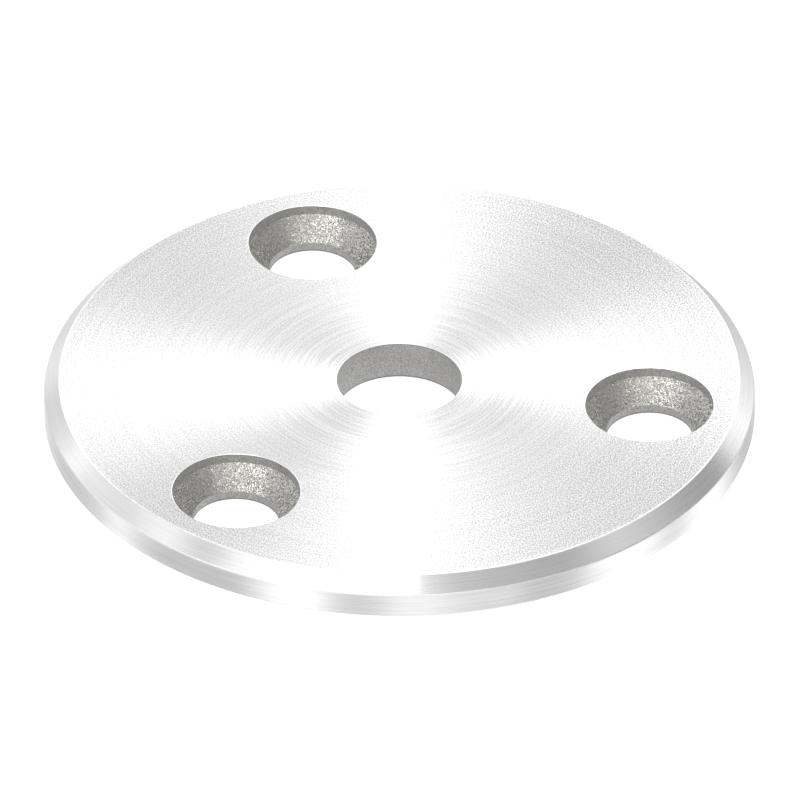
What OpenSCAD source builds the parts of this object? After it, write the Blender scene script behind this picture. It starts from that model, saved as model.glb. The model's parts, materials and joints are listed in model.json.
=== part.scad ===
// Drilled fixing disc, turned from steel plate in one piece.
// It has a chamfer round its upper rim, a plain bore through the middle
// and a ring of countersunk screw holes.
// The disc lies on the XY plane with its axis on Z, and the first screw hole is on +X.

/* [Disc] */
// Outside diameter of the disc
disc_d = 70; // [68:1:120]
// Thickness of the plate
plate_t = 4; // [3.4:0.1:12]
// Width of the 45 degree chamfer round the upper rim
rim_chamfer = 1.5; // [0.5:0.1:2.5]

/* [Centre bore] */
// Diameter of the plain bore through the middle
bore_d = 12.3; // [6:0.1:30]

/* [Screw holes] */
// Number of screw holes, evenly spaced
screw_count = 3; // [2:1:6]
// Diameter of the circle through the centres of the screw holes
screw_circle_d = 50; // [46:1:52]
// Diameter of the straight hole for the shank of the screw
shank_d = 8.5; // [7:0.1:11]
// Diameter of the countersink for the head of the screw
head_d = 12.6; // [11.5:0.1:13.5]
// Depth of the straight land that sinks the head below the face
head_land = 1; // [0.5:0.1:1.3]
// Included angle of the countersink's cone
cone_angle = 90; // [82:1:120]

/* [Edges] */
// Width of the small 45 degree break on each sharp edge
edge_break = 0.1; // [0.05:0.05:0.3]

/* [Hidden] */
$fn = 240;
// How far a cutter runs past the faces that it opens
overshoot = 1;
brushed_steel = [0.86, 0.86, 0.87];

disc_r = disc_d / 2;
bore_r = bore_d / 2;
shank_r = shank_d / 2;
head_r = head_d / 2;
land_bottom = plate_t - head_land;
cone_bottom = land_bottom - (head_r - shank_r) / tan(cone_angle / 2);

// Half section of the turned blank, from the bore out to the rim
module blank_section() {
    polygon([
        [bore_r, edge_break],
        [bore_r + edge_break, 0],
        [disc_r - edge_break, 0],
        [disc_r, edge_break],
        [disc_r, plate_t - rim_chamfer],
        [disc_r - rim_chamfer, plate_t],
        [bore_r + edge_break, plate_t],
        [bore_r, plate_t - edge_break]
    ]);
}

// Half section of one countersunk screw hole, open at both faces
module screw_hole_section() {
    polygon([
        [0, -overshoot],
        [shank_r + edge_break + overshoot, -overshoot],
        [shank_r, edge_break],
        [shank_r, cone_bottom],
        [head_r, land_bottom],
        [head_r, plate_t - edge_break],
        [head_r + edge_break + overshoot, plate_t + overshoot],
        [0, plate_t + overshoot]
    ]);
}

module turned_blank() {
    rotate_extrude() blank_section();
}

module screw_holes() {
    for (i = [0 : screw_count - 1])
        rotate([0, 0, i * 360 / screw_count])
            translate([screw_circle_d / 2, 0, 0])
                rotate_extrude() screw_hole_section();
}

module disc() {
    color(brushed_steel)
        difference() {
            turned_blank();
            screw_holes();
        }
}

disc();
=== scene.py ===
"""A round steel fixing disc: brushed face, turned rim, plain bore and countersunk screw holes."""
import json
import math
from collections import namedtuple

import bpy
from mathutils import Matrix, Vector


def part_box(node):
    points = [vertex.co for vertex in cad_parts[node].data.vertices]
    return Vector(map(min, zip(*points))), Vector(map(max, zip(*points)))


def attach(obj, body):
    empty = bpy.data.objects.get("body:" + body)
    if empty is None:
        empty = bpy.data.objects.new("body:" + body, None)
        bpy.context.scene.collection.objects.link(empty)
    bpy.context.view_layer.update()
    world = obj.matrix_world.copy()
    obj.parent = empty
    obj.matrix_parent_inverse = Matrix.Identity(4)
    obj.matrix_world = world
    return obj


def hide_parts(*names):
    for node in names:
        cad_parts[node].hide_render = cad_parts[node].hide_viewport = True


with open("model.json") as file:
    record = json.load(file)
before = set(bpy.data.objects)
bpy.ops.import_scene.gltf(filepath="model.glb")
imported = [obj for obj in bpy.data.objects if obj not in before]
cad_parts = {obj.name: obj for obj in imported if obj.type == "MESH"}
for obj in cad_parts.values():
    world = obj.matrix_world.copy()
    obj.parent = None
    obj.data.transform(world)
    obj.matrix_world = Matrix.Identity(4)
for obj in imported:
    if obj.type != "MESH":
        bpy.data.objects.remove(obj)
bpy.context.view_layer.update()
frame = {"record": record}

MM = 0.001
mounts = {mount["name"]: mount for mount in frame["record"]["mounts"]}
disc_low, disc_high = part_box("disc")

# Sizes of the disc, from the frame where it holds them
DISC_R = disc_high.x
PLATE_T = disc_high.z - disc_low.z
BORE_R = mounts["centre_bore"]["dims"]["r_mm"] * MM
SCREW_COUNT = mounts["screw_holes"]["dims"]["count"]
SCREW_CIRCLE_R = mounts["screw_holes"]["dims"]["pcd_mm"] / 2 * MM
SHANK_R = mounts["screw_holes"]["dims"]["hole_r_mm"] * MM
HEAD_R = 6.3 * MM
HEAD_LAND = 1 * MM
CONE_ANGLE = math.radians(90)
RIM_CHAMFER = 1.5 * MM
EDGE_BREAK = 0.1 * MM
OVERSHOOT = 1 * MM

# Steps round the rim and round each hole
RIM_STEPS = 360
HOLE_STEPS = 120
EDGE_SEGMENTS = 3

# The photograph's view, fitted to the rims of the disc and its holes
PHOTO_SIDE = 800
PIXELS_PER_MM = 10.154
FACE_CENTRE_PIXEL = (399.4, 379.3)
VIEW_AZIMUTH = math.radians(10)
VIEW_ELEVATION = math.radians(35)
CAMERA_DISTANCE = 0.3
CAMERA_NEAR = 0.01
CAMERA_FAR = 2


# Places of the outputs and inputs that are read or filled by number
OBJECT_COORDINATES = 3
SURFACE_NORMAL = 1
BACKFACING = 6
CELL_COLOUR = 1
MIX_FACTOR, MIX_FIRST, MIX_SECOND, MIX_COLOUR = 0, 6, 7, 2


class Socket:
    """An output of a node. Arithmetic on it adds Math nodes."""

    def __init__(self, graph, output):
        self.graph = graph
        self.output = output

    def maths(self, operation, *values):
        sockets = dict(enumerate((self, *values)))
        return self.graph.node("ShaderNodeMath", {"operation": operation}, sockets)

    def __add__(self, other):
        return self.maths("ADD", other)

    __radd__ = __add__

    def __mul__(self, other):
        return self.maths("MULTIPLY", other)

    __rmul__ = __mul__

    def __sub__(self, other):
        return self.maths("SUBTRACT", other)

    def __rsub__(self, other):
        return (self * -1) + other

    def __truediv__(self, other):
        return self.maths("DIVIDE", other)

    def __abs__(self):
        return self.maths("ABSOLUTE")

    def ramp(self, start, end, low=0.0, high=1.0):
        """Runs smoothly from low at start to high at end."""
        sockets = {"Value": self, "From Min": start, "From Max": end, "To Min": low, "To Max": high}
        return self.graph.node("ShaderNodeMapRange", {"interpolation_type": "SMOOTHSTEP"}, sockets)


class Graph:
    """The node tree of one material or of the world."""

    def __init__(self, owner):
        owner.use_nodes = True
        self.tree = owner.node_tree
        self.tree.nodes.clear()

    def node(self, kind, settings=None, sockets=None, out=0):
        """Adds a node, sets it up, fills its sockets with values or links, and gives one output, if any."""
        made = self.tree.nodes.new(kind)
        for name, value in (settings or {}).items():
            setattr(made, name, value)
        for name, value in (sockets or {}).items():
            if isinstance(value, Socket):
                self.tree.links.new(value.output, made.inputs[name])
            else:
                made.inputs[name].default_value = value
        return Socket(self, made.outputs[out]) if made.outputs else None

    def split(self, vector):
        """The three components of a vector."""
        parts = self.node("ShaderNodeSeparateXYZ", sockets={0: vector}).output.node.outputs
        return [Socket(self, part) for part in parts]

    def join(self, x, y, z):
        return self.node("ShaderNodeCombineXYZ", sockets={0: x, 1: y, 2: z})

    def blend(self, factor, first, second):
        """Mixes two colours."""
        sockets = {MIX_FACTOR: factor, MIX_FIRST: first, MIX_SECOND: second}
        return self.node("ShaderNodeMix", {"data_type": "RGBA"}, sockets, out=MIX_COLOUR)

    def noise(self, vector, detail=1.0, roughness=0.5):
        """Noise about 0, mostly within plus and minus 1, with cells one unit across."""
        sockets = {"Vector": vector, "Scale": 1.0, "Detail": detail, "Roughness": roughness}
        return (self.node("ShaderNodeTexNoise", sockets=sockets) - 0.5) * 4


# Studio

# A program fitted nearly all the numbers of this studio to the photograph's brightness round the face,
# the chamfer and the rim, and they were then rounded. Given one by one are the key's level, azimuth,
# half width and colour, and the levels of the panels at 60 and 126. The one at 64 was moved and widened.

# One softbox or flag of the studio. Angles are in degrees: azimuth 0 is the camera's right and 90 is
# away from it, and the panel reaches half_width to each side and from low to high above the horizon.
Panel = namedtuple("Panel", "level azimuth half_width side_blur low high end_blur")

DOME_LEVEL = 0.95
KEY = Panel(level=13, azimuth=263, half_width=8, side_blur=5, low=46, high=66, end_blur=7)
KEY_COLOUR = (1.0, 0.92, 0.86, 1)

# Each panel covers the ones before it
PANELS = (
    Panel(level=1.3, azimuth=248, half_width=44, side_blur=2, low=-32, high=93, end_blur=15),
    Panel(level=1.25, azimuth=184, half_width=7, side_blur=4, low=20, high=51, end_blur=6),
    Panel(level=0.65, azimuth=199, half_width=7, side_blur=4, low=29, high=49, end_blur=6),
    Panel(level=0.4, azimuth=308, half_width=36, side_blur=10, low=20, high=58, end_blur=4),
    KEY,
    Panel(level=0.35, azimuth=7, half_width=33, side_blur=5, low=-27, high=35, end_blur=3),
    Panel(level=0.4, azimuth=130, half_width=33, side_blur=3, low=39, high=86, end_blur=6),
    Panel(level=2.85, azimuth=60, half_width=22, side_blur=7, low=17, high=34, end_blur=3),
    Panel(level=2.7, azimuth=126, half_width=22, side_blur=5, low=6, high=38, end_blur=10),
    Panel(level=0.8, azimuth=108, half_width=7, side_blur=6, low=-22, high=20, end_blur=10),
    Panel(level=1.65, azimuth=12, half_width=35, side_blur=7, low=-77, high=-13, end_blur=4),
    Panel(level=0.75, azimuth=9, half_width=7, side_blur=3, low=-64, high=-17, end_blur=5),
    Panel(level=0.6, azimuth=64, half_width=23, side_blur=2, low=-70, high=-4, end_blur=12),
    Panel(level=0.7, azimuth=139, half_width=20, side_blur=11, low=-69, high=22, end_blur=4),
    Panel(level=1.95, azimuth=172, half_width=5, side_blur=3, low=-70, high=-6, end_blur=7),
    Panel(level=0.55, azimuth=198, half_width=24, side_blur=8, low=-70, high=-12, end_blur=5),
    Panel(level=1.4, azimuth=237, half_width=12, side_blur=5, low=-75, high=17, end_blur=7),
    Panel(level=0.65, azimuth=256, half_width=10, side_blur=8, low=-59, high=0, end_blur=8),
    Panel(level=0.9, azimuth=297, half_width=12, side_blur=6, low=-70, high=-7, end_blur=7),
    Panel(level=0.55, azimuth=320, half_width=11, side_blur=4, low=-42, high=12, end_blur=6),
)

# The long softbox over the disc starts above the far horizon
OVERHEAD_LEVEL = 2.9
OVERHEAD_HALF_WIDTH = 0.12
OVERHEAD_BLUR = 0.04
OVERHEAD_START = 47
OVERHEAD_END = 102
OVERHEAD_END_BLUR = 3

WHITE = (1, 1, 1, 1)
BLACK = (0, 0, 0, 1)


def between(value, low, high, blur):
    """1 between low and high, 0 outside, with soft edges."""
    return value.ramp(low - blur, low + blur) * value.ramp(high + blur, high - blur)


def panel_mask(azimuth, elevation, panel):
    """Where the panel is seen from the disc."""
    aside = abs((azimuth - math.radians(panel.azimuth)).maths("WRAP", math.pi, -math.pi))
    half, blur = math.radians(panel.half_width), math.radians(panel.side_blur)
    low, high, end_blur = (math.radians(angle) for angle in (panel.low, panel.high, panel.end_blur))
    return aside.ramp(half + blur, half - blur) * between(elevation, low, high, end_blur)


def studio():
    """A pale dome with softboxes and flags, which the metal mirrors. The camera sees plain white."""
    world = bpy.data.worlds.new("studio")
    bpy.context.scene.world = world
    graph = Graph(world)
    direction = graph.node("ShaderNodeTexCoord")
    turned = graph.node("ShaderNodeMapping", sockets={0: direction, 2: (0, 0, -VIEW_AZIMUTH)})
    x, y, z = graph.split(turned)
    azimuth = y.maths("ARCTAN2", x)
    elevation = z.maths("ARCSINE")

    level = azimuth * 0 + DOME_LEVEL
    for panel in PANELS:
        level = level + panel_mask(azimuth, elevation, panel) * (panel.level - level)
    overhead_angle = z.maths("ARCTAN2", y)
    start, end, end_blur = (math.radians(a) for a in (OVERHEAD_START, OVERHEAD_END, OVERHEAD_END_BLUR))
    overhead = abs(x).ramp(OVERHEAD_HALF_WIDTH + OVERHEAD_BLUR, OVERHEAD_HALF_WIDTH - OVERHEAD_BLUR)
    overhead = overhead * between(overhead_angle, start, end, end_blur)
    level = level + overhead * (OVERHEAD_LEVEL - level)

    tint = graph.blend(panel_mask(azimuth, elevation, KEY), WHITE, KEY_COLOUR)
    seen_by_metal = graph.node("ShaderNodeBackground", sockets={"Color": tint, "Strength": level})
    seen_by_camera = graph.node("ShaderNodeBackground", sockets={"Color": WHITE, "Strength": 1.0})
    camera_ray = graph.node("ShaderNodeLightPath")
    shader = graph.node("ShaderNodeMixShader", sockets={0: camera_ray, 1: seen_by_metal, 2: seen_by_camera})
    graph.node("ShaderNodeOutputWorld", sockets={"Surface": shader})


FLOOR_SIDE = 2
FLOOR_GLOW = 0.85
FLOOR_COLOUR = (0.3, 0.3, 0.3, 1)


def pale_floor():
    """A white floor that keeps the disc's faint shadow. Seen from below it is clear."""
    bpy.ops.object.select_all(action="DESELECT")
    bpy.ops.mesh.primitive_plane_add(size=FLOOR_SIDE)
    floor = bpy.context.object
    floor.name = "floor"
    floor.visible_glossy = False
    floor.visible_diffuse = False
    floor.visible_shadow = False
    material = bpy.data.materials.new("pale_floor")
    graph = Graph(material)
    paint = graph.node("ShaderNodeBsdfDiffuse", sockets={"Color": FLOOR_COLOUR})
    glow = graph.node("ShaderNodeEmission", sockets={"Color": WHITE, "Strength": FLOOR_GLOW})
    top = graph.node("ShaderNodeAddShader", sockets={0: paint, 1: glow})
    clear = graph.node("ShaderNodeBsdfTransparent")
    backfacing = graph.node("ShaderNodeNewGeometry", out=BACKFACING)
    shader = graph.node("ShaderNodeMixShader", sockets={0: backfacing, 1: top, 2: clear})
    graph.node("ShaderNodeOutputMaterial", sockets={"Surface": shader})
    floor.data.materials.append(material)


def photo_camera():
    """Looks at the disc as the photograph does, without perspective."""
    right = Vector((math.cos(VIEW_AZIMUTH), math.sin(VIEW_AZIMUTH), 0))
    level_back = Vector((math.sin(VIEW_AZIMUTH), -math.cos(VIEW_AZIMUTH), 0))
    back = level_back * math.cos(VIEW_ELEVATION) + Vector((0, 0, math.sin(VIEW_ELEVATION)))
    up = back.cross(right)
    pixel = MM / PIXELS_PER_MM
    across = (PHOTO_SIDE / 2 - FACE_CENTRE_PIXEL[0]) * pixel
    down = (PHOTO_SIDE / 2 - FACE_CENTRE_PIXEL[1]) * pixel
    centre = Vector((0, 0, PLATE_T)) + right * across - up * down
    turn = back.to_track_quat("Z", "Y").to_euler()
    bpy.ops.object.camera_add(location=centre + back * CAMERA_DISTANCE, rotation=turn)
    camera = bpy.context.object
    camera.data.type = "ORTHO"
    camera.data.ortho_scale = PHOTO_SIDE * pixel
    camera.data.clip_start = CAMERA_NEAR
    camera.data.clip_end = CAMERA_FAR
    bpy.context.scene.camera = camera


# Finishes of the metal

FACE_ROUGHNESS = 0.35
FACE_GRAIN = 0.9
CHAMFER_ROUGHNESS = 0.22
RIM_ROUGHNESS = 0.28
TURNED_GRAIN = 0.95
# A quarter turn sets the wide side of the highlight across the grooves, which run round the disc
ACROSS_GROOVES = 0.25
# Marks of the tools to the millimetre
FACE_GROOVES = 11
FACE_SPECKS = 7
TURNED_GROOVES = 14
DRILLED_SPECKS = 8
CONE_GRAINS = 12
# How far the cone's grains lean, and how dull the cone, the drilled walls and the edges are
CONE_TILT = 0.65
CONE_ROUGHNESS = 0.35
DRILLED_ROUGHNESS = 0.65
EDGE_ROUGHNESS = 0.45


def object_coordinates(graph):
    """The place on the disc in millimetres, with the distance from its axis."""
    place = graph.node("ShaderNodeTexCoord", out=OBJECT_COORDINATES)
    x, y, z = (part * (1 / MM) for part in graph.split(place))
    radius = (x * x + y * y).maths("SQRT")
    return x, y, z, radius


def metal(name, build):
    """A metal whose colour, roughness and relief come from build(graph)."""
    material = bpy.data.materials.new(name)
    graph = Graph(material)
    sockets = {"Metallic": 1.0, **build(graph)}
    shader = graph.node("ShaderNodeBsdfPrincipled", sockets=sockets)
    graph.node("ShaderNodeOutputMaterial", sockets={"Surface": shader})
    return material


def grey(level, warmth=0.0):
    """A neutral colour, or a slightly warm one."""
    return (level, level * (1 - warmth / 4), level * (1 - warmth), 1)


def relief(graph, height, depth):
    """A normal from a height that is about 0, where depth is the height of 1 in millimetres."""
    return graph.node("ShaderNodeBump", sockets={"Distance": depth * MM, "Height": height})


def brushed_face(graph):
    """Fine grooves that run round the disc, plainest near the bore, under a crisp fine grain."""
    x, y, z, radius = object_coordinates(graph)
    round_disc = graph.join(x / radius * 1.7, y / radius * 1.7, radius * FACE_GROOVES)
    arcs = graph.noise(round_disc, detail=0)
    specks = graph.noise(graph.join(x * FACE_SPECKS, y * FACE_SPECKS, z), detail=0)
    arcs = arcs.ramp(-0.6, 0.6, -1, 1) * radius.ramp(6, 23, 0.1, 0.036)
    # The grain grows outwards, and a little towards the first screw hole
    growth = radius.ramp(8, 30, 0.09, 0.2)
    specks = specks.ramp(-0.5, 0.5, -1, 1) * growth * x.ramp(-30, 30, 0.85, 1.15)
    tone = arcs + specks
    brightness = radius.ramp(4, 38, 0.85, 0.73)
    return {
        "Base Color": graph.blend(brightness + tone, BLACK, WHITE),
        "Roughness": tone * 0.1 + FACE_ROUGHNESS,
        "Anisotropic": FACE_GRAIN,
        "Anisotropic Rotation": ACROSS_GROOVES,
        "Normal": relief(graph, tone, depth=0.005),
    }


def turned_lines(graph, along, roughness, brightness, contrast):
    """Fine lines left by the lathe, close together in the direction along."""
    x, y, z, radius = object_coordinates(graph)
    across = {"radius": radius, "height": z}[along]
    fine = graph.noise(graph.join(x / radius * 4, y / radius * 4, across * TURNED_GROOVES), detail=2)
    broad = graph.noise(graph.join(x / radius * 2, y / radius * 2, across * 4), detail=1)
    tone = (fine + broad * 0.3) * contrast
    return {
        "Base Color": graph.blend(brightness + tone, BLACK, WHITE),
        "Roughness": tone * 0.1 + roughness,
        "Anisotropic": TURNED_GRAIN,
        "Anisotropic Rotation": ACROSS_GROOVES,
        "Normal": relief(graph, tone, depth=0.01),
    }


def turned_chamfer(graph):
    return turned_lines(graph, "radius", CHAMFER_ROUGHNESS, brightness=0.83, contrast=0.04)


def turned_rim(graph):
    return turned_lines(graph, "height", RIM_ROUGHNESS, brightness=0.83, contrast=0.1)


def back_face(graph):
    return turned_lines(graph, "radius", FACE_ROUGHNESS, brightness=0.76, contrast=0.1)


def drilled_wall(graph):
    """Dull wall of a drilled hole, mottled by the drill, with painted shade darkening its lower end."""
    x, y, z, _ = object_coordinates(graph)
    specks = graph.noise(graph.join(*(part * DRILLED_SPECKS for part in (x, y, z))), detail=1)
    patches = graph.noise(graph.join(x * 1.5, y * 1.5, z * 1.5), detail=1)
    tone = specks * 1.4 + patches * 0.2
    # Painted shade: the wall turns dark grey over its lowest quarter millimetre
    painted_shade_at_lower_end = z.ramp(0.25, 0.12)
    base = graph.blend(tone * 0.5 + 0.5, grey(0.35, 0.03), grey(0.62, 0.03))
    return {
        "Base Color": graph.blend(painted_shade_at_lower_end, base, grey(0.28, 0.03)),
        "Roughness": DRILLED_ROUGHNESS,
        "Normal": relief(graph, specks, depth=0.006),
    }


def facing(graph, cells, tilt):
    """Normals of small grains that each face their own way. Cells gives each grain a random colour."""
    turn = graph.node("ShaderNodeVectorMath", {"operation": "SUBTRACT"}, {0: cells, 1: (0.5, 0.5, 0.5)})
    normal = graph.node("ShaderNodeNewGeometry", out=SURFACE_NORMAL)
    sockets = {0: turn, 1: (tilt, tilt, tilt), 2: normal}
    tilted = graph.node("ShaderNodeVectorMath", {"operation": "MULTIPLY_ADD"}, sockets)
    return graph.node("ShaderNodeVectorMath", {"operation": "NORMALIZE"}, {0: tilted})


def sunk_cone(graph):
    """Grainy cone of a countersink, whose grains flash under the key lamp, with a few dark pits."""
    x, y, z, _ = object_coordinates(graph)
    place = graph.join(*(part * CONE_GRAINS for part in (x, y, z)))
    sockets = {"Vector": place, "Scale": 1.0}
    cells = graph.node("ShaderNodeTexVoronoi", sockets=sockets, out=CELL_COLOUR)
    grains, _, _ = graph.split(cells)
    pits = graph.noise(graph.join(x * 3.5, y * 3.5, z * 3.5), detail=0).ramp(1.2, 1.3)
    base = graph.blend(grains.ramp(0.3, 0.7), grey(0.35, 0.06), grey(0.57, 0.06))
    return {
        "Base Color": graph.blend(pits, base, grey(0.12, 0.06)),
        "Roughness": CONE_ROUGHNESS,
        "Normal": facing(graph, cells, CONE_TILT),
    }


def rubbed_edge(graph):
    """The small rounding of an edge, rubbed bright."""
    x, y, z, _ = object_coordinates(graph)
    wear = graph.noise(graph.join(x * 2, y * 2, z * 2), detail=2)
    return {
        "Base Color": graph.blend(wear * 0.5 + 0.5, grey(0.8), grey(0.88)),
        "Roughness": wear * 0.05 + EDGE_ROUGHNESS,
    }


def inner_edge_painted_shade(graph):
    """The part of a hole's rounded edge that turns inwards, dull, with painted shade making it dark."""
    x, y, z, _ = object_coordinates(graph)
    wear = graph.noise(graph.join(x * 3, y * 3, z * 3), detail=2)
    return {
        # Painted shade: dark greys stand in for the shade along the hole's inward and lower edge roundings
        "Base Color": graph.blend(wear * 0.5 + 0.5, grey(0.12, 0.03), grey(0.24, 0.03)),
        "Roughness": wear * 0.05 + EDGE_ROUGHNESS,
    }


FINISHES = {
    "face": brushed_face,
    "chamfer": turned_chamfer,
    "rim": turned_rim,
    "drilled": drilled_wall,
    "cone": sunk_cone,
    "back": back_face,
    "edge": rubbed_edge,
    "inner_edge_painted_shade": inner_edge_painted_shade,
}


# The disc

def turned_solid(name, centre, rings, steps):
    """A round solid, upright at centre. Each ring, a radius and a height, is extruded from the last."""
    bpy.ops.object.select_all(action="DESELECT")
    radius, height = rings[0]
    bpy.ops.mesh.primitive_circle_add(
        vertices=steps, radius=radius, fill_type="NGON", location=(*centre, height)
    )
    solid = bpy.context.object
    solid.name = solid.data.name = name
    bpy.ops.object.mode_set(mode="EDIT")
    for next_radius, next_height in rings[1:]:
        rise = (0, 0, next_height - height)
        bpy.ops.mesh.extrude_region_move(TRANSFORM_OT_translate={"value": rise})
        scale = next_radius / radius
        bpy.ops.transform.resize(value=(scale, scale, 1), center_override=(*centre, next_height))
        radius, height = next_radius, next_height
    bpy.ops.mesh.select_all(action="SELECT")
    bpy.ops.mesh.normals_make_consistent(inside=False)
    bpy.ops.object.mode_set(mode="OBJECT")
    bpy.ops.object.transform_apply(location=True, rotation=True, scale=True)
    return solid


def screw_centres():
    """The screw holes' centres, from the first one on +X."""
    for index in range(SCREW_COUNT):
        angle = index * math.tau / SCREW_COUNT
        yield SCREW_CIRCLE_R * math.cos(angle), SCREW_CIRCLE_R * math.sin(angle)


def cut_out(piece, cutter):
    """Takes the cutter's shape out of the piece and deletes the cutter."""
    bpy.ops.object.select_all(action="DESELECT")
    bpy.context.view_layer.objects.active = piece
    piece.select_set(True)
    bpy.ops.object.modifier_add(type="BOOLEAN")
    cut = piece.modifiers[-1]
    cut.operation = "DIFFERENCE"
    cut.solver = "EXACT"
    cut.object = cutter
    bpy.ops.object.modifier_apply(modifier=cut.name)
    bpy.data.objects.remove(cutter)


def break_edges(piece):
    """Rounds every sharp edge a little, as a file or a deburring tool would."""
    bpy.ops.object.mode_set(mode="EDIT")
    bpy.ops.mesh.select_mode(type="EDGE")
    bpy.ops.mesh.select_all(action="DESELECT")
    bpy.ops.mesh.edges_select_sharp(sharpness=math.radians(30))
    bpy.ops.mesh.bevel(offset=EDGE_BREAK, segments=EDGE_SEGMENTS)
    bpy.ops.object.mode_set(mode="OBJECT")


def flared(radius, face, out):
    """Rings of a cutter's mouth that round a hole's edge. out is 1 at the upper face and -1 at the lower."""
    for step in range(EDGE_SEGMENTS + 1):
        turn = step / EDGE_SEGMENTS * math.pi / 2
        wider = EDGE_BREAK * (1 - math.cos(turn))
        yield radius + wider, face + out * EDGE_BREAK * (math.sin(turn) - 1)
    yield radius + EDGE_BREAK, face + out * OVERSHOOT


def merge_doubles(piece):
    """Closes the hairline slivers that a cut leaves where its ring lies in a face."""
    bpy.ops.object.mode_set(mode="EDIT")
    bpy.ops.mesh.select_all(action="SELECT")
    bpy.ops.mesh.remove_doubles(threshold=EDGE_BREAK / 100)
    bpy.ops.object.mode_set(mode="OBJECT")


# How near a face's direction is to the one that its finish has
DIRECTION_NEAR = 0.01
# The rounding of a hole's edge is bright where it turns up at least this far, and painted dark as shade
# where it turns less
EDGE_RISE = 0.3


def finish_of(centre, normal):
    """Which finish a face of the disc has, from its place and direction."""
    near = DIRECTION_NEAR
    out = centre.xy.length
    from_screw = min((centre.xy - Vector(place)).length for place in screw_centres())
    upright = abs(normal.z) < near
    sloping = abs(normal.z - math.cos(math.pi / 4)) < near
    if normal.z > 1 - near / 10:
        return "face"
    if normal.z < near / 10 - 1:
        return "back"
    if upright and out > DISC_R - EDGE_BREAK:
        return "rim"
    if sloping and out > DISC_R - RIM_CHAMFER and centre.z < PLATE_T - EDGE_BREAK:
        return "chamfer"
    if upright and (out < BORE_R + EDGE_BREAK or from_screw < HEAD_R + EDGE_BREAK):
        return "drilled"
    if sloping and from_screw < HEAD_R and centre.z < PLATE_T - HEAD_LAND:
        return "cone"
    at_rim = out > DISC_R - RIM_CHAMFER - EDGE_BREAK
    return "edge" if at_rim or normal.z > EDGE_RISE else "inner_edge_painted_shade"


def give_finishes(piece):
    """Gives each face its finish. A finish is smooth inside, with sharp borders to the next one."""
    names = list(FINISHES)
    for name, build in FINISHES.items():
        piece.data.materials.append(metal(f"steel_{name}", build))
    for face in piece.data.polygons:
        face.material_index = names.index(finish_of(face.center, face.normal))
    bpy.ops.object.shade_smooth()
    bpy.ops.object.mode_set(mode="EDIT")
    bpy.ops.mesh.select_mode(type="FACE")
    for index in range(len(names)):
        bpy.ops.mesh.select_all(action="DESELECT")
        piece.active_material_index = index
        bpy.ops.object.material_slot_select()
        bpy.ops.mesh.region_to_loop()
        bpy.ops.mesh.mark_sharp()
        bpy.ops.mesh.select_mode(type="FACE")
    bpy.ops.object.mode_set(mode="OBJECT")


def fixing_disc():
    """The disc, turned, drilled, countersunk and deburred."""
    chamfer_start = PLATE_T - RIM_CHAMFER
    blank = ((DISC_R, 0), (DISC_R, chamfer_start), (DISC_R - RIM_CHAMFER, PLATE_T))
    disc = turned_solid("fixing_disc", (0, 0), blank, RIM_STEPS)
    break_edges(disc)
    bore = (*reversed([*flared(BORE_R, 0, -1)]), *flared(BORE_R, PLATE_T, 1))
    cut_out(disc, turned_solid("drill", (0, 0), bore, HOLE_STEPS))
    land_bottom = PLATE_T - HEAD_LAND
    cone_bottom = land_bottom - (HEAD_R - SHANK_R) / math.tan(CONE_ANGLE / 2)
    cone = ((SHANK_R, cone_bottom), (HEAD_R, land_bottom))
    sunk = (*reversed([*flared(SHANK_R, 0, -1)]), *cone, *flared(HEAD_R, PLATE_T, 1))
    for centre in screw_centres():
        cut_out(disc, turned_solid("countersink", centre, sunk, HOLE_STEPS))
    merge_doubles(disc)
    give_finishes(disc)
    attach(disc, "root")
    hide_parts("disc")


photo_camera()
studio()
pale_floor()
fixing_disc()
bpy.context.scene.view_settings.view_transform = "Standard"
